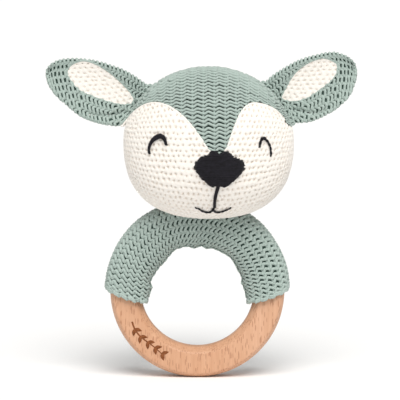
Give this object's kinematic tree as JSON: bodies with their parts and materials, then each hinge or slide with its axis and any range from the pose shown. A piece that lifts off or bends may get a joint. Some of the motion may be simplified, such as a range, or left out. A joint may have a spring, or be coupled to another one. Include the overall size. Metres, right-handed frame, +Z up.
{
  "type": "teething ring",
  "caption": "Teething ring of beech in a knitted sleeve, with a stuffed knitted fawn's head, soft ears and a rattle inside.",
  "frame": {"origin": "the middle of the footprint, on the surface that the wooden ring's lowest point touches when the toy is held upright", "axes": "+Z up through the ring and the head, +X towards the fawn's left ear, the face looks along -Y and the wooden ring's axis is parallel to Y"},
  "size_m": [0.1225, 0.0518, 0.1308],
  "materials": {
    "beech": "sanded smooth, lightly oiled",
    "green_knit": "cotton yarn, matte",
    "cream_knit": "cotton yarn, matte",
    "black_thread": "embroidery thread, slight sheen",
    "fibre": "loose polyester fibre",
    "plastic": "moulded, satin"
  },
  "bodies": {
    "sleeve": {"ring_sleeve": "green_knit", "sleeve_seam_yarn": "green_knit", "neck_yarn": "green_knit"},
    "ring": {"wooden_ring": "beech"},
    "head": {"crown_panel": "green_knit", "face_panel": "cream_knit", "head_filling_front": "fibre", "head_filling_back": "fibre", "rattle_capsule_front": "plastic", "rattle_capsule_back": "plastic", "nose_stitching": "black_thread", "lip_stitching": "black_thread", "smile_stitching": "black_thread", "left_eye_stitching": "black_thread", "right_eye_stitching": "black_thread", "left_ear_root_yarn": "green_knit", "right_ear_root_yarn": "green_knit"},
    "left_ear": {"left_ear_back": "green_knit", "left_ear_lining": "cream_knit", "left_ear_wadding": "fibre"},
    "right_ear": {"right_ear_back": "green_knit", "right_ear_lining": "cream_knit", "right_ear_wadding": "fibre"},
    "beads": {"rattle_bead_1": "plastic", "rattle_bead_2": "plastic", "rattle_bead_3": "plastic", "rattle_bead_4": "plastic"}
  },
  "joints": [
    {"name": "ring_turn", "type": "hinge", "parent": "sleeve", "child": "ring", "pos_m": [-0.00165, 0.0044, 0.035], "axis": [0, 1, 0], "continuous": true},
    {"name": "head_nod", "type": "hinge", "parent": "sleeve", "child": "head", "pos_m": [-0.00165, 0.0044, 0.06335], "axis": [1, 0, 0], "range_deg": [-20, 25], "stiffness_Nm_per_rad": 0.5},
    {"name": "left_ear_flap", "type": "hinge", "parent": "head", "child": "left_ear", "pos_m": [-0.02975, 0.0032, 0.1115], "axis": [0.5212, 0, 0.8534], "range_deg": [-25, 60], "stiffness_Nm_per_rad": 0.02},
    {"name": "right_ear_flap", "type": "hinge", "parent": "head", "child": "right_ear", "pos_m": [0.03535, 0.0032, 0.1122], "axis": [0.5312, 0, -0.8473], "range_deg": [-25, 60], "stiffness_Nm_per_rad": 0.02},
    {"name": "bead_slide", "type": "slide", "parent": "head", "child": "beads", "axis": [1, 0, 0], "range_m": [-0.003, 0.003]}
  ]
}
